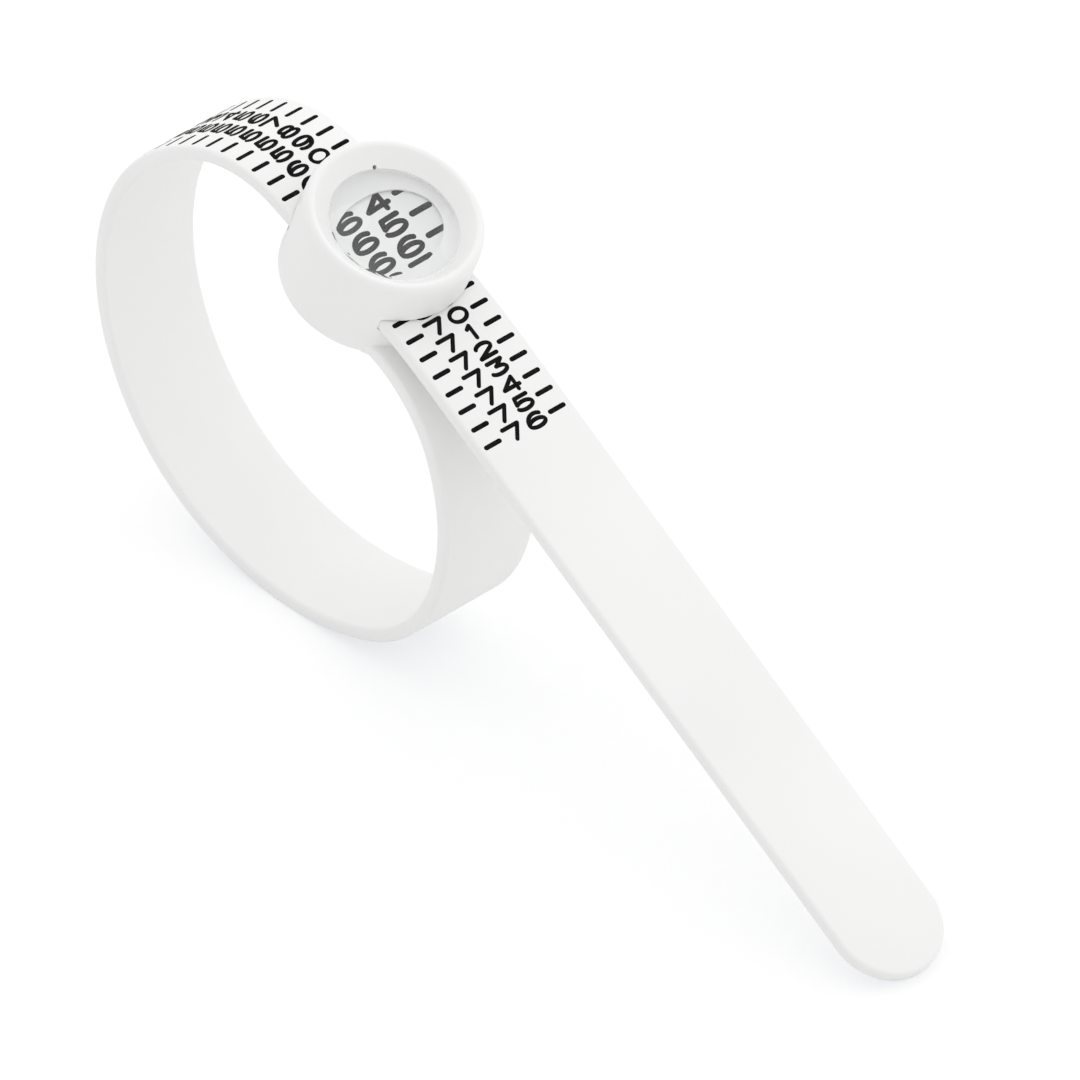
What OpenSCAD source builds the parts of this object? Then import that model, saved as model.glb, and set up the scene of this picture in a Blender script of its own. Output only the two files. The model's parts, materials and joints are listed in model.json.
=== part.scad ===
// Belt-type ring sizer: a flat strap leaves a round buckle, goes round the finger as a loop and
// comes back through the slot in the buckle, under a clear magnifier, to end in a straight tail.
// Millimetres, +Z up. It stands on the bottom of its loop and on the tip of its tail.
// +X runs towards the tip of the tail and +Y along the width of the strap.

/* [Strap] */
// Width of the strap
strap_w = 5.6; // [4.4:0.1:6]
// Thickness of the strap
strap_t = 0.75; // [0.6:0.05:1]
// Length of the tail, from the bend outside the buckle to its round tip
tail_len = 36.9; // [30:0.1:60]
// Height by which the round bead at a bend stands proud of the strap
bend_bead = 0.02; // [0.01:0.01:0.05]
// Gap round that bead, where one length of strap turns on the next
bend_gap = 0.04; // [0.02:0.01:0.08]

/* [Loop] */
// Radius of the loop at its top, beside the buckle
top_r = 6.7; // [5:0.1:9]
// Radius of the loop at its upper left
top_left_r = 11.2; // [9:0.1:14]
// Radius of the loop at its left
left_r = 12; // [10:0.1:15]
// Radius of the loop at its lower left
bottom_left_r = 11.5; // [9:0.1:14]
// Radius of the loop at its lower right
bottom_right_r = 8.3; // [6:0.1:11]
// Radius of the loop where it comes up to the base of the buckle
root_r = 6.9; // [5:0.1:9]

/* [Buckle] */
// Diameter of the buckle
buckle_d = 8.44; // [8.4:0.02:12]
// Angle by which the buckle leans towards the tail
buckle_tilt = 22.5; // [16:0.5:28]
// Thickness of the web between the slot and the root of the strap
base_web = 0.58; // [0.4:0.02:1.5]
// Radius of the lower edge of the buckle
base_edge_r = 0.6; // [0.2:0.05:0.8]
// Height of the rim above the edge of the magnifier
rim_rise = 0.66; // [0.5:0.02:1.2]
// Radius of the crest of the rim
rim_round_r = 0.3; // [0.2:0.02:0.46]

/* [Slot] */
// Play at each side of the strap
slot_side = 0.1; // [0.05:0.01:0.3]
// Play above the strap
slot_over = 0.08; // [0.05:0.01:0.3]
// Play below the strap in the middle of the slot
slot_under = 0.15; // [0.1:0.01:0.3]
// Play below the strap at the mouth on the side of the loop
entry_play = 0.35; // [0.2:0.01:0.6]
// Play below the strap at the mouth on the side of the tail
exit_play = 0.55; // [0.45:0.01:0.8]
// Distance from the middle of the buckle to the start of each ramp in the floor of the slot
ramp_start = 1; // [0.5:0.1:2]
// Distance by which the bends of the strap lie outside the buckle
bend_out = 0.28; // [0.1:0.02:0.6]

/* [Root] */
// Depth to which the root of the strap reaches into the base of the buckle
root_depth = 0.82; // [0.6:0.02:1.5]
// Play round the root of the strap in its notch
root_play = 0.12; // [0.08:0.01:0.2]

/* [Magnifier] */
// Diameter of the magnifier
lens_d = 6.16; // [5.4:0.02:6.4]
// Play round the magnifier in its seat
lens_play = 0.02; // [0.01:0.01:0.05]
// Thickness of the magnifier at its edge
lens_edge_t = 1.5; // [0.6:0.05:2]
// Height of the dome of the magnifier
lens_dome_h = 0.98; // [0.4:0.02:1.6]
// Thickness of the ledge that carries the magnifier
ledge_t = 0.12; // [0.1:0.02:0.8]
// Width of the oval window in that ledge, across the strap
window_w = 4.84; // [3.6:0.02:5.2]
// Length of that window, along the strap
window_len = 3.5; // [2.6:0.02:4.4]
// Distance by which the window lies towards the loop
window_shift = 0.08; // [0:0.01:0.3]

/* [Hidden] */
NODES = ["buckle", "magnifier_lens", "strap_run", "strap_tail",
         "loop_top", "loop_top_left", "loop_left", "loop_bottom_left",
         "loop_bottom", "loop_bottom_right", "loop_right", "loop_root"];
$fn = 96;
white = [0.93, 0.93, 0.92];
clear = [0.9, 0.95, 0.97, 0.4];
past = 1;

// Heights in the buckle's own frame, where the upper face of the strap is at 0
half_t = strap_t / 2;
bead_r = half_t + bend_bead;
hollow_r = bead_r + bend_gap;
buckle_r = buckle_d / 2;
base_z = -(strap_t + exit_play + base_web + root_play + strap_t);
seat_z = slot_over + ledge_t;
lens_edge_z = seat_z + lens_edge_t;
rim_z = lens_edge_z + rim_rise;
lens_r = lens_d / 2;
bore_r = lens_r + lens_play;
crest_mid_r = buckle_r - rim_round_r;
crest_mid_z = rim_z - rim_round_r;
dome_r = (lens_r * lens_r + lens_dome_h * lens_dome_h) / (2 * lens_dome_h);
bend_x = buckle_r + bend_out;
root_x = buckle_r - root_depth;

// The rim flares from the edge of the magnifier until it meets the round of its crest
flare = [crest_mid_r - bore_r, crest_mid_z - lens_edge_z];
flare_slope = atan2(flare.y, flare.x) + asin(rim_round_r / norm(flare));
flare_len = sqrt(flare * flare - rim_round_r * rim_round_r);
crest_start = [bore_r, lens_edge_z] + flare_len * [cos(flare_slope), sin(flare_slope)];

// Points of the strap's middle line, as [x, z] from the middle of the buckle's slot
along = [cos(buckle_tilt), -sin(buckle_tilt)];
upward = [sin(buckle_tilt), cos(buckle_tilt)];
entry_bend = -bend_x * along - half_t * upward;
exit_bend = bend_x * along - half_t * upward;
root_end = root_x * along + (base_z + half_t) * upward;

// The loop is a row of tangent arcs that turn equally and bring it once round. It closes on the
// root because the radii at its bottom and at its right are worked out from the others.
arcs = 8;
turn = 360 / arcs;
function place_in_loop(name) = search([name], NODES)[0] - search(["loop_top"], NODES)[0];
left = place_in_loop("loop_left");
bottom = place_in_loop("loop_bottom");
right = place_in_loop("loop_right");
function heading(i) = 180 - buckle_tilt + turn * i;
function chord(i) = [sin(heading(i + 1)) - sin(heading(i)), cos(heading(i)) - cos(heading(i + 1))];
set_radii = [top_r, top_left_r, left_r, bottom_left_r, 0, bottom_right_r, 0, root_r];
function reach(radii, n) = n == 0 ? [0, 0] : reach(radii, n - 1) + radii[n - 1] * chord(n - 1);
function cross2(a, b) = a.x * b.y - a.y * b.x;
missing = root_end - entry_bend - reach(set_radii, arcs);
bottom_r = cross2(missing, chord(right)) / cross2(chord(bottom), chord(right));
right_r = cross2(chord(bottom), missing) / cross2(chord(bottom), chord(right));
radii = [top_r, top_left_r, left_r, bottom_left_r, bottom_r, bottom_right_r, right_r, root_r];
function bend(i) = entry_bend + reach(radii, i);
function centre(i) = bend(i) + radii[i] * [-sin(heading(i)), cos(heading(i))];

// The floor is level with the bottom of the loop, and the tail slopes down until its tip meets it
floor_z = centre(bottom).y - bottom_r - half_t;
left_x = centre(left).x - left_r - half_t;
tail_slope = asin((exit_bend.y - floor_z) / norm([tail_len, half_t])) - atan(half_t / tail_len);
tip_x = exit_bend.x + tail_len * cos(tail_slope) + half_t * sin(tail_slope);
origin = [(left_x + tip_x) / 2, floor_z];

// Sets a shape that is given from the middle of the slot on the floor
module stand() {
    translate([-origin.x, 0, -origin.y]) children();
}

// Leans a shape that is given in the buckle's own frame
module lean() {
    stand() rotate([0, buckle_tilt, 0]) children();
}

// Round bar across the strap, with its middle at point p
module bar(p, r, length) {
    translate([p.x, 0, p.y]) rotate([90, 0, 0]) cylinder(r = r, h = length, center = true);
}

// Outline in X and Z, drawn out along Y
module across(length) {
    rotate([90, 0, 0]) linear_extrude(height = length, center = true) children();
}

module buckle_outline() {
    translate([0, base_z]) square([buckle_r - base_edge_r, crest_mid_z - base_z]);
    translate([0, base_z + base_edge_r]) square([buckle_r, crest_mid_z - base_z - base_edge_r]);
    translate([buckle_r - base_edge_r, base_z + base_edge_r]) circle(r = base_edge_r);
    translate([0, slot_over]) square([crest_mid_r, rim_z - slot_over]);
    translate([crest_mid_r, crest_mid_z]) circle(r = rim_round_r);
}

// Round seat of the magnifier, with its flared rim
module seat_outline() {
    difference() {
        polygon([
            [0, seat_z],
            [bore_r, seat_z],
            [bore_r, lens_edge_z],
            crest_start,
            [crest_mid_r, crest_mid_z],
            [crest_mid_r, rim_z + past],
            [0, rim_z + past]
        ]);
        translate([crest_mid_r, crest_mid_z]) circle(r = rim_round_r);
    }
}

// Oval opening from the seat down to the slot
module window() {
    translate([-window_shift, 0, -half_t]) scale([window_len / window_w, 1, 1])
        cylinder(d = window_w, h = seat_z + half_t + past);
}

// The floor of the slot falls towards both mouths
module slot_outline() {
    entry_fall = (entry_play - slot_under) * (buckle_r + past - ramp_start) / (buckle_r - ramp_start);
    exit_fall = (exit_play - slot_under) * (buckle_r + past + ramp_start) / (buckle_r + ramp_start);
    floor_mid = -strap_t - slot_under;
    polygon([
        [-buckle_r - past, slot_over],
        [-buckle_r - past, floor_mid - entry_fall],
        [-ramp_start, floor_mid],
        [buckle_r + past, floor_mid - exit_fall],
        [buckle_r + past, slot_over]
    ]);
}

module root_notch() {
    notch_x = root_x - root_play;
    translate([notch_x, -strap_w / 2 - slot_side, base_z - past])
        cube([buckle_r + past - notch_x, strap_w + 2 * slot_side, past + strap_t + root_play]);
}

module buckle() {
    color(white) lean() difference() {
        rotate_extrude() buckle_outline();
        rotate_extrude() seat_outline();
        window();
        across(strap_w + 2 * slot_side) slot_outline();
        root_notch();
    }
}

module magnifier_lens() {
    color(clear) lean() intersection() {
        translate([0, 0, seat_z]) cylinder(r = lens_r, h = lens_edge_t + lens_dome_h + past);
        translate([0, 0, lens_edge_z + lens_dome_h - dome_r]) sphere(r = dome_r);
    }
}

// Straight length of strap in the slot, with a bead at both bends
module strap_run() {
    color(white) stand() {
        rotate([0, buckle_tilt, 0])
            translate([-bend_x, -strap_w / 2, -strap_t]) cube([2 * bend_x, strap_w, strap_t]);
        bar(entry_bend, bead_r, strap_w);
        bar(exit_bend, bead_r, strap_w);
    }
}

module strap_tail() {
    straight = tail_len - strap_w / 2;
    color(white) stand() difference() {
        translate([exit_bend.x, 0, exit_bend.y]) rotate([0, tail_slope, 0])
            translate([0, 0, -half_t]) linear_extrude(height = strap_t) {
                translate([0, -strap_w / 2]) square([straight, strap_w]);
                translate([straight, 0]) circle(r = strap_w / 2);
            }
        bar(exit_bend, hollow_r, strap_w + past);
    }
}

// One arc of the loop: hollow where it turns on the length before it, with a bead where the next
// one turns, and a plain end where the last one lies in the buckle
module loop_arc(i) {
    color(white) stand() difference() {
        union() {
            translate([centre(i).x, 0, centre(i).y]) rotate([90, 0, 0]) rotate([0, 0, heading(i) - 90])
                rotate_extrude(angle = turn)
                    translate([radii[i] - half_t, -strap_w / 2]) square([strap_t, strap_w]);
            if (i < arcs - 1) bar(bend(i + 1), bead_r, strap_w);
        }
        bar(bend(i), hollow_r, strap_w + past);
    }
}

module loop_top() { loop_arc(place_in_loop("loop_top")); }
module loop_top_left() { loop_arc(place_in_loop("loop_top_left")); }
module loop_left() { loop_arc(place_in_loop("loop_left")); }
module loop_bottom_left() { loop_arc(place_in_loop("loop_bottom_left")); }
module loop_bottom() { loop_arc(place_in_loop("loop_bottom")); }
module loop_bottom_right() { loop_arc(place_in_loop("loop_bottom_right")); }
module loop_right() { loop_arc(place_in_loop("loop_right")); }
module loop_root() { loop_arc(place_in_loop("loop_root")); }

buckle();
magnifier_lens();
strap_run();
strap_tail();
loop_top();
loop_top_left();
loop_left();
loop_bottom_left();
loop_bottom();
loop_bottom_right();
loop_right();
loop_root();
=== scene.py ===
"""Belt-type ring sizer: a white printed strap looped through a round buckle with a magnifier."""

import json
from math import asin, atan, atan2, cos, degrees, hypot, pi, radians, sin, sqrt, tan

import bpy
from mathutils import Matrix, Vector


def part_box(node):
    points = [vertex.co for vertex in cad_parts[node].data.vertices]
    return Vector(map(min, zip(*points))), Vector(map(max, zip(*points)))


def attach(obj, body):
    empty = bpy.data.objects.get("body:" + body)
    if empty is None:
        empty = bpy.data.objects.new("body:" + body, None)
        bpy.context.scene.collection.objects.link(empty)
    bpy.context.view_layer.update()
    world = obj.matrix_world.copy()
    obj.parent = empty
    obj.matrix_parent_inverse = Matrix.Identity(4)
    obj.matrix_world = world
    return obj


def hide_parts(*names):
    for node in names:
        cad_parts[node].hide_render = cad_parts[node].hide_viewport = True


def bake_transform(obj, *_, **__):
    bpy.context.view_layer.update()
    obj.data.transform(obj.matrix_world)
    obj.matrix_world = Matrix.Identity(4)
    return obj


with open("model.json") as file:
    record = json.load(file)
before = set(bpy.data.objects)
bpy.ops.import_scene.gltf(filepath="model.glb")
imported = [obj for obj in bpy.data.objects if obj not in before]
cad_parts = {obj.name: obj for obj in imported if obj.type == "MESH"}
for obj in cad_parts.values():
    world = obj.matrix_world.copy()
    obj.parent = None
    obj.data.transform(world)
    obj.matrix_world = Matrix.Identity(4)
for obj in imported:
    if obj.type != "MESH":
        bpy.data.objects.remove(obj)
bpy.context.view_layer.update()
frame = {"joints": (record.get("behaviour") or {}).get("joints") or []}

MM = 0.001

# Strap
STRAP_T = 0.75 * MM
STRAP_EDGE_R = 0.2 * MM
EDGE_SEGMENTS = 4
ARC_STEP = radians(2.25)
RUN_STEP = 0.5 * MM
LOOP_TURN = radians(45)
TAIL_LEN = 36.9 * MM
TAIL_BEND_REACH = 2 * MM
TAIL_JOIN = 3.5 * MM
TIP_SEGMENTS = 24
FILLET_STEPS = 6
MERGE = 0.001 * MM
TIP_MERGE = 4 * MERGE
SMOOTH_ANGLE = radians(40)

# Buckle, in heights above the upper face of the strap. Its outside lies off the middle of the bore,
# towards the loop, by BUCKLE_SHIFT
BUCKLE_R = 4.26 * MM
BUCKLE_SHIFT = 0.125 * MM
BASE_DEPTH = 2.75 * MM
BASE_EDGE_R = 0.31 * MM
RIM_H = 2.41 * MM
RIM_SOFT_H = 0.6 * MM
CREST_R = 0.3 * MM
BORE_R = 3.1 * MM
SEAT_H = 0.2 * MM
WINDOW_W = 4.84 * MM
WINDOW_LEN = 3.5 * MM
WINDOW_SHIFT = 0.08 * MM
SLOT_SIDE = 0.02 * MM
SLOT_OVER = 0.08 * MM
SLOT_UNDER = 0.15 * MM
ENTRY_PLAY = 0.35 * MM
EXIT_PLAY = 0.03 * MM
RAMP_START = 1 * MM
SLOT_CUT_REACH = BUCKLE_R * 1.2
ROOT_REACH = 3.4 * MM
ROOT_FILLET_R = 0.7 * MM
ROOT_BURIED = 2.2 * MM
TURNED_SIDES = 128
CORNER_STEPS = 12
CUT_SMOOTH_ANGLE = radians(30)

# Magnifier
LENS_R = 3.08 * MM
LENS_LIFT = 0.005 * MM
LENS_EDGE_H = 1.7 * MM
LENS_DOME_H = 0.98 * MM
LENS_CHAMFER = 0.02 * MM
DOME_RINGS = 32

# Mark of the mould's gate: a pinhole from the edge of the bore into the wall
GATE_ANGLE = radians(156.5)
GATE_SLANT = radians(32)
GATE_R = 0.1 * MM
GATE_MOUTH_R = 3.15 * MM
GATE_MOUTH_H = 1.75 * MM
GATE_DEPTH = 1.4 * MM
GATE_SUNK = 0.4
GATE_SIDES = 24

# Printed scale: one number to a millimetre
FIRST_NUMBER = 41
LAST_NUMBER = 76
READING = 65.37
INK_HALF_T = 0.006 * MM
TICK_LEN = 1.05 * MM
TICK_T = 0.24 * MM
TICK_Y = 1.97 * MM
PRINT_SHIFT = -0.08 * MM
DIGIT_Y = 0.685 * MM
DIGIT_STROKE = 0.215 * MM
DIGIT_UNIT = 100
OVAL_STEP = 15

# Finishes
PLASTIC_DULL = (0.885, 0.885, 0.88)
PLASTIC_BRIGHT = (0.915, 0.915, 0.91)
PLASTIC_IOR = 1.48
SKIN_HEIGHT = 0.01 * MM
SKIN_STRENGTH = 0.3
INK_FULL = (0.003, 0.003, 0.003)
INK_THIN = (0.012, 0.012, 0.012)
INK_GLOSS = 0.05
ACRYLIC_TINT = (0.97, 0.98, 0.98, 1)
ACRYLIC_IOR = 1.49
TONE_RANGE = (0.3, 0.7)

# Camera, as fitted to the photograph
VIEW_AZIMUTH = radians(47.154)
VIEW_ELEVATION = radians(38)
VIEW_DISTANCE = 1000 * MM
VIEW_WIDTH = 48.97 * MM
VIEW_RIGHT = 7.055 * MM
VIEW_UP = -13.334 * MM
SENSOR_W = 36
CLIP_NEAR = 10 * MM
CLIP_FAR = 20

# Light and floor
SKY = 0.965
SKY_LEAN = Vector((0, 0.25, 0))
KEY_FROM = Vector((-0.33, -0.12, 0.94))
KEY_DISTANCE = 350 * MM
KEY_SIZE = 240 * MM
KEY_WATTS = 0.1
FLOOR_SIZE = 4
FLOOR_PLAIN = (0.9, 0.9, 0.9, 1)
FLOOR_SHADED = (0.43, 0.41, 0.37, 1)
FLOOR_GLOW = (0.59, 0.61, 0.65, 1)

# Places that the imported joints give
LOOP = ["loop_top", "loop_top_left", "loop_left", "loop_bottom_left",
        "loop_bottom", "loop_bottom_right", "loop_right", "loop_root"]
joints = {joint["name"]: joint for joint in frame["joints"]}
across = Vector((0, 1, 0))
along = -Vector(joints["strap_slide"]["axis"]).normalized()
upward = along.cross(across)
bends = [Vector(joints[body.replace("loop_", "") + "_bend"]["pos_m"]) for body in LOOP]
tail_bend = Vector(joints["tail_bend"]["pos_m"])
run_middle = (bends[0] + tail_bend) / 2
run_half = (tail_bend - run_middle).length
slot_middle = run_middle + upward * STRAP_T / 2
root_end = slot_middle + along * ROOT_REACH + upward * (STRAP_T / 2 - BASE_DEPTH)
run_low, run_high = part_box("strap_run")
STRAP_W = run_high.y - run_low.y


def heading(angle):
    """Direction in the plane of the loop, at an angle from +X towards +Z."""
    return Vector((cos(angle), 0, sin(angle)))


class Arc:
    """One arc of the loop, from a bend to the next, followed from the slot round to the root."""

    def __init__(self, place, start, end):
        self.turned_to = atan2(-along.z, -along.x) + LOOP_TURN * place - pi / 2
        self.radius = (end - start).length / (2 * sin(LOOP_TURN / 2))
        self.centre = start - heading(self.turned_to) * self.radius
        self.length = self.radius * LOOP_TURN

    def middle(self):
        """Point halfway along the arc."""
        return self.centre + heading(self.turned_to + LOOP_TURN / 2) * self.radius


arcs = [Arc(i, *ends) for i, ends in enumerate(zip(bends, bends[1:] + [root_end]))]

# The tail hangs down from its bend until the lower edge of its tip meets the floor
buckle_tilt = atan2(-along.z, along.x)
tail_slope = asin(tail_bend.z / hypot(TAIL_LEN, STRAP_T / 2)) - atan(STRAP_T / 2 / TAIL_LEN)
tail_along = heading(-tail_slope)
tail_up = tail_along.cross(across)
tail_turn = tail_slope - buckle_tilt
tail_bend_r = TAIL_BEND_REACH / tan(tail_turn / 2)
tail_bend_centre = tail_bend - along * TAIL_BEND_REACH - upward * tail_bend_r


def strap_place(distance):
    """Point on the printed face at a distance from the magnifier's axis, with the direction in
    which the numbers grow there and the direction that the face looks in."""
    straight = run_half - TAIL_BEND_REACH
    if distance > straight + tail_bend_r * tail_turn:
        past_bend = distance - straight - tail_bend_r * tail_turn + TAIL_BEND_REACH
        return tail_bend + tail_along * past_bend + tail_up * STRAP_T / 2, tail_along, tail_up
    if distance > straight:
        slope = buckle_tilt + (distance - straight) / tail_bend_r
        out = heading(pi / 2 - slope)
        return tail_bend_centre + out * (tail_bend_r + STRAP_T / 2), heading(-slope), out
    if distance > -run_half:
        return slot_middle + along * distance, along, upward
    left = -distance - run_half
    for arc in arcs:
        if left < arc.length:
            out = heading(arc.turned_to + left / arc.radius)
            return arc.centre + out * (arc.radius + STRAP_T / 2), across.cross(out), out
        left -= arc.length


def frame_matrix(origin, x, y, z):
    """Matrix that sets a shape at a point, with its axes along three directions."""
    return Matrix.Translation(origin) @ Matrix((x, y, z)).transposed().to_4x4()


def add(primitive, name, **sizes):
    """Adds a primitive with nothing else selected and opens it in edit mode."""
    bpy.ops.object.select_all(action="DESELECT")
    primitive(**sizes)
    piece = bpy.context.object
    piece.name = name
    piece.data.name = name
    bpy.ops.object.mode_set(mode="EDIT")
    return piece


def pick_edges(piece, wanted):
    """Selects, in edit mode, the edges whose two end points fit a test."""
    bpy.ops.mesh.select_all(action="DESELECT")
    bpy.ops.object.mode_set(mode="OBJECT")
    points = piece.data.vertices
    for edge in piece.data.edges:
        edge.select = wanted(*(points[i].co for i in edge.vertices))
    bpy.ops.object.mode_set(mode="EDIT")


def close_and_smooth(piece):
    """Closes the open ends, turns the faces outwards and leaves edit mode."""
    bpy.ops.mesh.select_mode(type="VERT")
    bpy.ops.mesh.select_all(action="DESELECT")
    bpy.ops.mesh.select_non_manifold()
    bpy.ops.mesh.edge_face_add()
    bpy.ops.mesh.select_all(action="SELECT")
    bpy.ops.mesh.normals_make_consistent(inside=False)
    bpy.ops.object.mode_set(mode="OBJECT")
    bpy.ops.object.shade_smooth_by_angle(angle=SMOOTH_ANGLE)
    return piece


def select_only(*pieces):
    """Selects these pieces alone, with the first of them active."""
    bpy.ops.object.select_all(action="DESELECT")
    for piece in pieces:
        piece.select_set(True)
    bpy.context.view_layer.objects.active = pieces[0]


def set_in_place(piece, matrix):
    """Puts a piece's place into its mesh, with its object left at the origin."""
    select_only(piece)
    piece.matrix_world = matrix
    bpy.ops.object.transform_apply(location=True, rotation=True, scale=True)
    return piece


# Materials

def material(name):
    """New material, with its nodes, its links and the inputs of its shader."""
    made = bpy.data.materials.new(name)
    made.use_nodes = True
    nodes = made.node_tree.nodes
    return made, nodes, made.node_tree.links, nodes["Principled BSDF"].inputs


def noise(nodes, links, scale, detail):
    """Noise in the object's own coordinates, at so many grains to the metre."""
    coordinates = nodes.new("ShaderNodeTexCoord")
    grain = nodes.new("ShaderNodeTexNoise")
    grain.inputs["Scale"].default_value = scale
    grain.inputs["Detail"].default_value = detail
    links.new(coordinates.outputs["Object"], grain.inputs["Vector"])
    return grain.outputs["Fac"]


def ramp(nodes, links, value, low, high):
    """Colour that runs from low to high as a noise runs through its middle range."""
    colours = nodes.new("ShaderNodeValToRGB")
    for stop, position, colour in zip(colours.color_ramp.elements, TONE_RANGE, (low, high)):
        stop.position = position
        stop.color = (*colour, 1)
    links.new(value, colours.inputs["Fac"])
    return colours.outputs["Color"]


def spread(nodes, links, value, low, high):
    """Number that runs from low to high with a noise."""
    numbers = nodes.new("ShaderNodeMapRange")
    numbers.inputs["To Min"].default_value = low
    numbers.inputs["To Max"].default_value = high
    links.new(value, numbers.inputs["Value"])
    return numbers.outputs["Result"]


def bump(nodes, links, value, height):
    """Fine relief that follows a noise."""
    relief = nodes.new("ShaderNodeBump")
    relief.inputs["Strength"].default_value = SKIN_STRENGTH
    relief.inputs["Distance"].default_value = height
    links.new(value, relief.inputs["Height"])
    return relief.outputs["Normal"]


def larger(nodes, links, first, second):
    """Larger of two numbers."""
    both = nodes.new("ShaderNodeMath")
    both.operation = "MAXIMUM"
    links.new(first, both.inputs[0])
    links.new(second, both.inputs[1])
    return both.outputs[0]


def white_plastic():
    """Soft white moulding with a satin skin and faint cloudy tone."""
    made, nodes, links, shader = material("white_plastic")
    clouds = noise(nodes, links, scale=90, detail=2)
    skin = noise(nodes, links, scale=9000, detail=3)
    links.new(ramp(nodes, links, clouds, PLASTIC_DULL, PLASTIC_BRIGHT), shader["Base Color"])
    links.new(spread(nodes, links, skin, low=0.38, high=0.52), shader["Roughness"])
    links.new(bump(nodes, links, skin, SKIN_HEIGHT), shader["Normal"])
    shader["IOR"].default_value = PLASTIC_IOR
    return made


def printed_ink():
    """Flat black print, a little thinner here and there."""
    made, nodes, links, shader = material("printed_ink")
    patches = noise(nodes, links, scale=4000, detail=2)
    links.new(ramp(nodes, links, patches, INK_FULL, INK_THIN), shader["Base Color"])
    links.new(spread(nodes, links, patches, low=0.6, high=0.8), shader["Roughness"])
    shader["Specular IOR Level"].default_value = INK_GLOSS
    return made


def clear_acrylic():
    """Clear polished lens with a faint haze, which light passes straight on its way to the print."""
    made, nodes, links, shader = material("clear_acrylic")
    haze = noise(nodes, links, scale=2500, detail=2)
    shader["Base Color"].default_value = ACRYLIC_TINT
    links.new(spread(nodes, links, haze, low=0.0, high=0.06), shader["Roughness"])
    shader["Transmission Weight"].default_value = 1
    shader["IOR"].default_value = ACRYLIC_IOR
    rays = nodes.new("ShaderNodeLightPath").outputs
    light = larger(nodes, links, rays["Is Shadow Ray"], rays["Is Diffuse Ray"])
    passing = nodes.new("ShaderNodeBsdfTransparent")
    lit_through = nodes.new("ShaderNodeMixShader")
    links.new(light, lit_through.inputs[0])
    links.new(nodes["Principled BSDF"].outputs[0], lit_through.inputs[1])
    links.new(passing.outputs[0], lit_through.inputs[2])
    links.new(lit_through.outputs[0], nodes["Material Output"].inputs["Surface"])
    return made


WHITE = white_plastic()
INK = printed_ink()
CLEAR = clear_acrylic()


def dress(piece, finish):
    """Gives a piece its one finish."""
    piece.data.materials.clear()
    piece.data.materials.append(finish)
    return piece


# Strap

def start_strap(name, middle, forward):
    """Rounded cross-section of the strap at a point, selected and ready to be swept forward."""
    piece = add(bpy.ops.mesh.primitive_plane_add, name, size=1)
    bpy.ops.transform.resize(value=(STRAP_W, STRAP_T, 1))
    bpy.ops.mesh.bevel(offset=STRAP_EDGE_R, segments=EDGE_SEGMENTS, affect="VERTICES")
    bpy.ops.mesh.delete(type="ONLY_FACE")
    bpy.ops.object.mode_set(mode="OBJECT")
    set_in_place(piece, frame_matrix(middle, across, forward.cross(across), forward))
    bpy.ops.object.mode_set(mode="EDIT")
    bpy.ops.mesh.select_all(action="SELECT")
    return piece


def sweep_round(centre, angle):
    """Sweeps the open section round a centre, up from +X towards +Z where the angle is positive."""
    steps = max(2, round(abs(angle) / ARC_STEP))
    bpy.ops.mesh.spin(steps=steps, angle=angle, center=centre, axis=across)


def sweep_straight(way):
    """Sweeps the open section along a straight way, in short lengths."""
    steps = max(1, round(way.length / RUN_STEP))
    for _ in range(steps):
        bpy.ops.mesh.extrude_edges_move(TRANSFORM_OT_translate={"value": way / steps})


def root_fillet():
    """Sweeps the root on into the buckle, widened by a fillet at both edges where it leaves it."""
    fillet_y = STRAP_W / 2 + ROOT_FILLET_R
    span = sqrt((BUCKLE_R + ROOT_FILLET_R) ** 2 - fillet_y ** 2)
    fillet_x = span - BUCKLE_SHIFT
    touch_x = span * BUCKLE_R / (BUCKLE_R + ROOT_FILLET_R) - BUCKLE_SHIFT
    inward = touch_x - ROOT_REACH
    steps = [ROOT_REACH + inward * (i + 1) / FILLET_STEPS for i in range(FILLET_STEPS)]
    widths = [fillet_y - sqrt(ROOT_FILLET_R ** 2 - (fillet_x - x) ** 2) for x in steps]
    reach, half_w = ROOT_REACH, STRAP_W / 2
    for nearer, wider in zip(steps + [ROOT_BURIED], widths + [widths[-1]]):
        bpy.ops.mesh.extrude_edges_move(TRANSFORM_OT_translate={"value": along * (nearer - reach)})
        bpy.ops.transform.resize(value=(1, wider / half_w, 1))
        reach, half_w = nearer, wider


def loop_strap(place):
    """Length of strap across one bend of the loop, from the middle of a length to that of the next."""
    name = LOOP[place].replace("loop_", "strap_")
    if place == 0:
        piece = start_strap(name, run_middle, -along)
        sweep_straight(bends[0] - run_middle)
        before, begin = "strap", run_middle
    else:
        earlier = arcs[place - 1]
        before, begin = LOOP[place - 1], earlier.middle()
        piece = start_strap(name, begin, heading(earlier.turned_to + LOOP_TURN / 2 + pi / 2))
        sweep_round(earlier.centre, LOOP_TURN / 2)
    arc = arcs[place]
    sweep_round(arc.centre, LOOP_TURN if arc is arcs[-1] else LOOP_TURN / 2)
    if arc is arcs[-1]:
        root_fillet()
    close_and_smooth(piece)
    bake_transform(dress(piece, WHITE), before, LOOP[place], start=begin, end=arc.middle())
    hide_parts(LOOP[place])


def exit_strap():
    """Length of strap from the middle of the slot to just past the bend of the tail."""
    piece = start_strap("strap_exit", run_middle, along)
    sweep_straight(along * (run_half - TAIL_BEND_REACH))
    sweep_round(tail_bend_centre, -tail_turn)
    sweep_straight(tail_along * (TAIL_JOIN - TAIL_BEND_REACH))
    close_and_smooth(piece)
    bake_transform(dress(piece, WHITE))
    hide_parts("strap_run")


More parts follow.
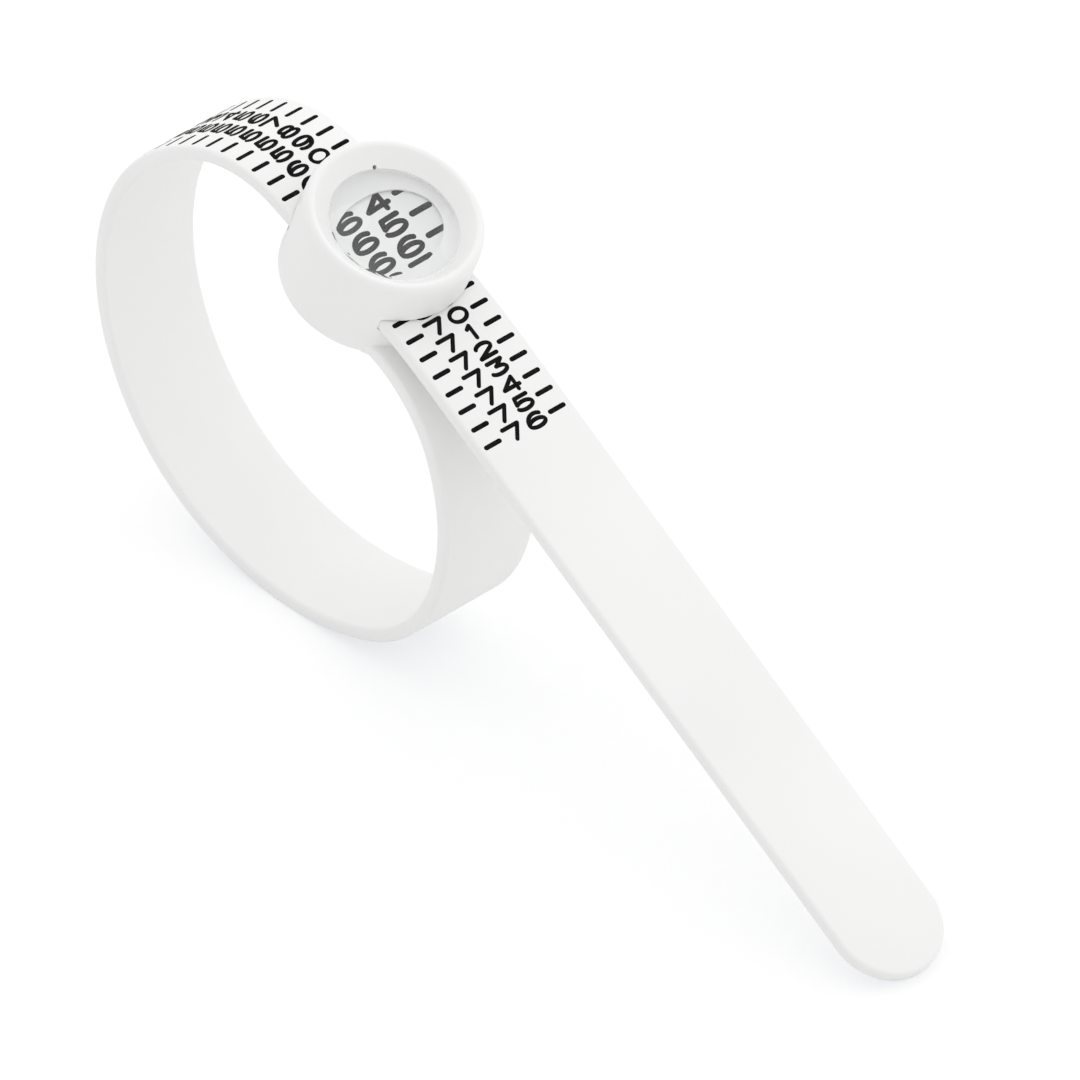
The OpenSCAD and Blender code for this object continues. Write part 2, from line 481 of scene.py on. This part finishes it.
def tail_strip():
    """Straight rest of the tail, with its full round tip."""
    length = TAIL_LEN - TAIL_JOIN
    piece = add(bpy.ops.mesh.primitive_cube_add, "tail_strip", size=1)
    bpy.ops.transform.resize(value=(length, STRAP_W, STRAP_T))
    bpy.ops.transform.translate(value=(length / 2, 0, 0))
    bpy.ops.mesh.select_mode(type="EDGE")
    pick_edges(piece, lambda a, b: min(a.x, b.x) > length / 2 and a.y * b.y > 0)
    bpy.ops.mesh.bevel(offset=STRAP_W / 2 - MERGE, segments=TIP_SEGMENTS, affect="EDGES")
    bpy.ops.mesh.select_all(action="SELECT")
    bpy.ops.mesh.remove_doubles(threshold=TIP_MERGE)
    pick_edges(piece, lambda a, b: max(a.x, b.x) > MERGE and abs(a.z - b.z) < MERGE)
    bpy.ops.mesh.bevel(offset=STRAP_EDGE_R, segments=EDGE_SEGMENTS, affect="EDGES")
    close_and_smooth(piece)
    set_in_place(piece, frame_matrix(tail_bend + tail_along * TAIL_JOIN, tail_along, across, tail_up))
    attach(dress(piece, WHITE), "tail")
    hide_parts("strap_tail")


# Buckle and magnifier

def round_corner(centre_r, centre_h, radius, tall, begin, end):
    """Profile points round an oval corner, at angles from outwards towards upwards."""
    angles = [radians(begin + (end - begin) * i / CORNER_STEPS) for i in range(CORNER_STEPS + 1)]
    return [(centre_r + radius * cos(a), centre_h + tall * sin(a)) for a in angles]


def turned(name, profile):
    """Round piece built ring by ring through a profile of radius and height."""
    (r, h), *others = profile
    piece = add(bpy.ops.mesh.primitive_circle_add, name, vertices=TURNED_SIDES, radius=r)
    bpy.ops.transform.translate(value=(0, 0, h))
    for next_r, next_h in others:
        bpy.ops.mesh.extrude_edges_move(TRANSFORM_OT_translate={"value": (0, 0, next_h - h)})
        share = next_r / r
        bpy.ops.transform.resize(value=(share, share, 1), center_override=(0, 0, next_h))
        r, h = next_r, next_h
    return close_and_smooth(piece)


def slot_cutter():
    """Block as large as the slot, with a floor that falls towards both mouths."""
    low = -STRAP_T - SLOT_UNDER
    piece = add(bpy.ops.mesh.primitive_cube_add, "slot_cutter", size=2)
    bpy.ops.transform.resize(value=(SLOT_CUT_REACH, STRAP_W / 2 + SLOT_SIDE, (SLOT_OVER - low) / 2))
    bpy.ops.transform.translate(value=(0, 0, (SLOT_OVER + low) / 2))
    bpy.ops.mesh.bisect(plane_co=(-RAMP_START, 0, 0), plane_no=(1, 0, 0))
    for side, play in ((-1, ENTRY_PLAY), (1, EXIT_PLAY)):
        ramp_run = BUCKLE_R + side * RAMP_START
        fall = (play - SLOT_UNDER) * (SLOT_CUT_REACH + side * RAMP_START) / ramp_run
        pick_edges(piece, lambda a, b: (
            min(side * a.x, side * b.x) > SLOT_CUT_REACH / 2
            and max(a.z, b.z) < SLOT_OVER - MERGE))
        bpy.ops.transform.translate(value=(0, 0, -fall))
    pick_edges(piece, lambda a, b: abs(a.y - b.y) < MERGE < abs(a.x - b.x))
    bpy.ops.mesh.bevel(offset=STRAP_EDGE_R, segments=EDGE_SEGMENTS, affect="EDGES")
    bpy.ops.object.mode_set(mode="OBJECT")
    return piece


def window_cutter():
    """Oval column as large as the window between the magnifier's seat and the slot."""
    low, high = -STRAP_T / 2, SEAT_H * 2
    sizes = {"vertices": TURNED_SIDES, "radius": 0.5, "depth": high - low}
    piece = add(bpy.ops.mesh.primitive_cylinder_add, "window_cutter", **sizes)
    bpy.ops.transform.resize(value=(WINDOW_LEN, WINDOW_W, 1))
    bpy.ops.transform.translate(value=(-WINDOW_SHIFT, 0, (low + high) / 2))
    bpy.ops.object.mode_set(mode="OBJECT")
    return piece


def gate_cutter():
    """Pinhole that slants from the edge of the bore into the wall, where the mould's gate was."""
    outward = Vector((cos(GATE_ANGLE), sin(GATE_ANGLE), 0))
    mouth = outward * GATE_MOUTH_R + Vector((0, 0, GATE_MOUTH_H))
    drill = outward * sin(GATE_SLANT) - Vector((0, 0, cos(GATE_SLANT)))
    sizes = {"vertices": GATE_SIDES, "radius": GATE_R, "depth": GATE_DEPTH}
    middle = mouth + drill * GATE_DEPTH * GATE_SUNK
    turn = drill.to_track_quat("Z", "Y").to_euler()
    sizes.update(location=middle, rotation=turn)
    piece = add(bpy.ops.mesh.primitive_cylinder_add, "gate_cutter", **sizes)
    bpy.ops.object.mode_set(mode="OBJECT")
    return piece


def cut_away(piece, cutter):
    """Takes the shape of a cutter out of a piece and removes the cutter."""
    bpy.context.view_layer.objects.active = piece
    cut = piece.modifiers.new("cut", "BOOLEAN")
    cut.object = cutter
    cut.operation = "DIFFERENCE"
    cut.solver = "EXACT"
    bpy.ops.object.modifier_apply(modifier=cut.name)
    bpy.data.objects.remove(cutter)


def buckle_body():
    """Round buckle with its rim, the seat of the magnifier, the window, the slot and the gate's mark."""
    foot_r, foot_h = BUCKLE_R - BASE_EDGE_R, BASE_EDGE_R - BASE_DEPTH
    crest_r, crest_h = BUCKLE_R - CREST_R, RIM_H - CREST_R
    flare = Vector((crest_r - BORE_R, crest_h - LENS_EDGE_H))
    flare_slope = atan2(flare.y, flare.x) + asin(CREST_R / flare.length)
    profile = [
        (BORE_R / 2, -BASE_DEPTH),
        *round_corner(foot_r, foot_h, BASE_EDGE_R, BASE_EDGE_R, -90, 0),
        *round_corner(crest_r, RIM_H - RIM_SOFT_H, CREST_R, RIM_SOFT_H, 0, 90),
        *round_corner(crest_r, crest_h, CREST_R, CREST_R, 90, 90 + degrees(flare_slope))[1:],
        (BORE_R, LENS_EDGE_H),
        (BORE_R, SEAT_H),
    ]
    piece = turned("buckle_body", profile)
    bpy.ops.object.mode_set(mode="EDIT")
    pick_edges(piece, lambda a, b: min(a.xy.length, b.xy.length) > BORE_R + MERGE)
    bpy.ops.transform.translate(value=(-BUCKLE_SHIFT, 0, 0))
    bpy.ops.object.mode_set(mode="OBJECT")
    cut_away(piece, slot_cutter())
    cut_away(piece, window_cutter())
    cut_away(piece, gate_cutter())
    set_in_place(piece, frame_matrix(slot_middle, along, across, upward))
    bpy.ops.object.shade_smooth_by_angle(angle=CUT_SMOOTH_ANGLE)
    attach(dress(piece, WHITE), "buckle")
    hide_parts("buckle")


def magnifier():
    """Clear disc with a flat back and a domed front."""
    dome_r = (LENS_R ** 2 + LENS_DOME_H ** 2) / (2 * LENS_DOME_H)
    dome_mid = LENS_EDGE_H + LENS_DOME_H - dome_r
    spread_angle = asin((LENS_R - LENS_CHAMFER) / dome_r)
    rings = [spread_angle * (1 - i / (DOME_RINGS + 1)) for i in range(DOME_RINGS + 1)]
    bottom = SEAT_H + LENS_LIFT
    profile = [
        (LENS_R - LENS_CHAMFER, bottom),
        (LENS_R, bottom + LENS_CHAMFER),
        (LENS_R, LENS_EDGE_H - LENS_CHAMFER),
        *((dome_r * sin(a), dome_mid + dome_r * cos(a)) for a in rings),
    ]
    piece = turned("magnifier", profile)
    set_in_place(piece, frame_matrix(slot_middle, along, across, upward))
    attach(dress(piece, CLEAR), "buckle")
    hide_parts("magnifier_lens")


# Printed scale

def oval(x, y, half_w, half_h, begin=0, end=360):
    """Points round an oval, in hundredths of a millimetre, at angles from +X towards +Y."""
    steps = max(2, round(abs(end - begin) / OVAL_STEP))
    angles = [radians(begin + (end - begin) * i / steps) for i in range(steps + 1)]
    return [(x + half_w * cos(a), y + half_h * sin(a)) for a in angles]


def half_turn(strokes):
    """The same strokes, upside down."""
    return [[(-x, -y) for x, y in stroke] for stroke in strokes]


# Strokes of the digits in hundredths of a millimetre, from the middle of a digit
SIX = [oval(6, -11, 52, 44.5, 55, 180), oval(0, -14, 46, 19.5)]
DIGITS = [
    [oval(0, 0, 46, 33.5)],
    [[(-13, 20), (8, 33.5)], [(8, 33.5), (8, -33.5)]],
    [oval(0, 13, 42, 20.5, 165, -35) + [(-44, -33.5)], [(-44, -33.5), (46, -33.5)]],
    [[(-40, 33.5), (42, 33.5)], [(42, 33.5), (0, 6)], oval(0, -14, 46, 19.5, 95, -155)],
    [[(27, -33.5), (27, 33.5)], [(27, 33.5), (-44, -13)], [(-44, -13), (46, -13)]],
    [[(40, 33.5), (-30, 33.5)], [(-30, 33.5), (-37, 0)], oval(0, -13, 46, 20.5, 140, -155)],
    SIX,
    [[(-46, 33.5), (46, 33.5)], [(46, 33.5), (-4, -33.5)]],
    [oval(0, 17.5, 37, 16), oval(0, -15.5, 46, 18)],
    half_turn(SIX),
]


def ink_shape(name, strokes, width):
    """Flat printed shape of round-ended strokes, with its middle at the origin."""
    curve = bpy.data.curves.new(name, "CURVE")
    curve.dimensions = "3D"
    curve.bevel_depth = width / 2
    curve.bevel_resolution = 1
    for stroke in strokes:
        line = [Vector((x * MM / DIGIT_UNIT, y * MM / DIGIT_UNIT, 0)) for x, y in stroke]
        closed = (line[0] - line[-1]).length < MERGE
        points = [(p, 1) for p in line[:-1]] if closed else round_ends(line, width / 2)
        spline = curve.splines.new("POLY")
        spline.points.add(len(points) - 1)
        spline.use_cyclic_u = closed
        for target, (p, radius) in zip(spline.points, points):
            target.co = (*p, 1)
            target.radius = radius
    piece = bpy.data.objects.new(name, curve)
    bpy.context.scene.collection.objects.link(piece)
    select_only(piece)
    bpy.ops.object.convert(target="MESH")
    bpy.ops.object.mode_set(mode="EDIT")
    bpy.ops.mesh.select_all(action="SELECT")
    bpy.ops.mesh.remove_doubles(threshold=MERGE)
    bpy.ops.transform.resize(value=(1, 1, INK_HALF_T / (width / 2)), center_override=(0, 0, 0))
    bpy.ops.mesh.normals_make_consistent(inside=False)
    bpy.ops.object.mode_set(mode="OBJECT")
    return piece


def round_ends(line, radius):
    """Line of points with their widths, with half-round ends added."""
    shares = (1, 0.95, 0.8, 0.5)
    start = (line[0] - line[1]).normalized() * radius
    end = (line[-1] - line[-2]).normalized() * radius
    head = [(line[0] + start * k, sqrt(1 - k * k)) for k in shares]
    foot = [(line[-1] + end * k, sqrt(1 - k * k)) for k in reversed(shares)]
    return head + [(p, 1) for p in line] + foot


def print_numbers(name, numbers, digits, tick):
    """Numbers with a mark at each side, printed on the outer face of the strap."""
    copies = []
    for number in numbers:
        point, forward, out = strap_place((number - READING) * MM)
        tens, units = divmod(number, 10)
        row = [(tick, -TICK_Y), (digits[tens], -DIGIT_Y), (digits[units], DIGIT_Y), (tick, TICK_Y)]
        for shape, y in row:
            copy = bpy.data.objects.new(name, shape.data.copy())
            bpy.context.scene.collection.objects.link(copy)
            copy.matrix_world = frame_matrix(point + across * (y + PRINT_SHIFT), across, -forward, out)
            copies.append(copy)
    select_only(*copies)
    bpy.ops.object.transform_apply(location=True, rotation=True, scale=True)
    bpy.ops.object.join()
    piece = bpy.context.object
    piece.name = name
    piece.data.name = name
    bpy.ops.object.shade_smooth()
    return dress(piece, INK)


def number_at(distance):
    """Reading of the scale at a distance from the magnifier's axis."""
    return READING + distance / MM


def printed_scale():
    """Scale in lengths, one for each piece of the strap under them."""
    digits = [ink_shape(f"digit_{i}", strokes, DIGIT_STROKE) for i, strokes in enumerate(DIGITS)]
    half_tick = (TICK_LEN - TICK_T) / 2 / MM * DIGIT_UNIT
    tick = ink_shape("tick", [[(-half_tick, 0), (half_tick, 0)]], TICK_T)
    tail_join = number_at(run_half + TAIL_JOIN)
    lengths = {"scale_tail": (tail_join, LAST_NUMBER + 1), "scale_exit": (READING, tail_join)}
    upper, done = READING, -run_half
    for body, arc in zip(LOOP, arcs):
        lower = number_at(done - arc.length / 2)
        lengths[body.replace("loop_", "scale_")] = (lower, upper)
        upper, done = lower, done - arc.length
    for name, (low, high) in lengths.items():
        numbers = [n for n in range(FIRST_NUMBER, LAST_NUMBER + 1) if low <= n < high]
        if not numbers:
            continue
        piece = print_numbers(name, numbers, digits, tick)
        place = name.replace("scale_", "loop_")
        if name == "scale_tail":
            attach(piece, "tail")
        elif name == "scale_exit":
            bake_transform(piece)
        elif place == LOOP[0]:
            arcs[0].middle()
            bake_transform(piece)
        else:
            i = LOOP.index(place)
            arcs[i - 1].middle()
            arcs[i].middle()
            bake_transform(piece)
    for shape in [*digits, tick]:
        bpy.data.objects.remove(shape)


# Camera, floor and light

def camera():
    """Camera at the photograph's angle."""
    level = cos(VIEW_ELEVATION)
    right = Vector((cos(VIEW_AZIMUTH), sin(VIEW_AZIMUTH), 0))
    back = Vector((sin(VIEW_AZIMUTH) * level, -cos(VIEW_AZIMUTH) * level, sin(VIEW_ELEVATION)))
    up = back.cross(right)
    target = slot_middle + right * VIEW_RIGHT + up * VIEW_UP
    lens = bpy.data.cameras.new("camera")
    lens.sensor_width = SENSOR_W
    lens.lens = lens.sensor_width * VIEW_DISTANCE / VIEW_WIDTH
    lens.clip_start = CLIP_NEAR
    lens.clip_end = CLIP_FAR
    eye = bpy.data.objects.new("camera", lens)
    eye.matrix_world = frame_matrix(target + back * VIEW_DISTANCE, right, up, back)
    bpy.context.scene.collection.objects.link(eye)
    bpy.context.scene.camera = eye


def seen_directly(nodes, links):
    """1 for rays that come from the camera or from a mirror or clear surface."""
    rays = nodes.new("ShaderNodeLightPath").outputs
    seen = larger(nodes, links, rays["Is Camera Ray"], rays["Is Glossy Ray"])
    return larger(nodes, links, seen, rays["Is Transmission Ray"])


def floor():
    """White floor that keeps a faint shadow."""
    bpy.ops.object.select_all(action="DESELECT")
    bpy.ops.mesh.primitive_plane_add(size=FLOOR_SIZE)
    plane = bpy.context.object
    plane.name = "floor"
    made = bpy.data.materials.new("floor")
    made.use_nodes = True
    nodes, links = made.node_tree.nodes, made.node_tree.links
    nodes.clear()
    plain = nodes.new("ShaderNodeBsdfDiffuse")
    plain.inputs["Color"].default_value = FLOOR_PLAIN
    shaded = nodes.new("ShaderNodeBsdfDiffuse")
    shaded.inputs["Color"].default_value = FLOOR_SHADED
    glow = nodes.new("ShaderNodeEmission")
    glow.inputs["Color"].default_value = FLOOR_GLOW
    white = nodes.new("ShaderNodeAddShader")
    links.new(shaded.outputs[0], white.inputs[0])
    links.new(glow.outputs[0], white.inputs[1])
    both = nodes.new("ShaderNodeMixShader")
    links.new(seen_directly(nodes, links), both.inputs[0])
    links.new(plain.outputs[0], both.inputs[1])
    links.new(white.outputs[0], both.inputs[2])
    output = nodes.new("ShaderNodeOutputMaterial")
    links.new(both.outputs[0], output.inputs["Surface"])
    plane.data.materials.append(made)


def studio_light():
    """White surroundings, as light a little dimmer at the near side, with a large soft lamp overhead."""
    world = bpy.data.worlds.new("studio")
    bpy.context.scene.world = world
    world.use_nodes = True
    nodes, links = world.node_tree.nodes, world.node_tree.links
    direction = nodes.new("ShaderNodeTexCoord")
    lean = nodes.new("ShaderNodeVectorMath")
    lean.operation = "DOT_PRODUCT"
    links.new(direction.outputs["Generated"], lean.inputs[0])
    lean.inputs[1].default_value = SKY_LEAN * SKY
    glow = nodes.new("ShaderNodeMath")
    glow.operation = "ADD"
    links.new(lean.outputs["Value"], glow.inputs[0])
    glow.inputs[1].default_value = SKY
    level = nodes.new("ShaderNodeMapRange")
    links.new(glow.outputs[0], level.inputs["To Min"])
    level.inputs["To Max"].default_value = 1
    links.new(seen_directly(nodes, links), level.inputs["Value"])
    sky = nodes["Background"].inputs
    sky["Color"].default_value = (1, 1, 1, 1)
    links.new(level.outputs["Result"], sky["Strength"])
    lamp = bpy.data.lights.new("overhead_softbox", "AREA")
    lamp.shape = "DISK"
    lamp.size = KEY_SIZE
    lamp.energy = KEY_WATTS
    softbox = bpy.data.objects.new("overhead_softbox", lamp)
    lamp_way = KEY_FROM.normalized()
    softbox.location = slot_middle + lamp_way * KEY_DISTANCE
    softbox.rotation_euler = lamp_way.to_track_quat("Z", "Y").to_euler()
    bpy.context.scene.collection.objects.link(softbox)


camera()
floor()
studio_light()
for place in range(len(LOOP)):
    loop_strap(place)
exit_strap()
tail_strip()
buckle_body()
magnifier()
printed_scale()
bpy.context.scene.view_settings.view_transform = "Standard"
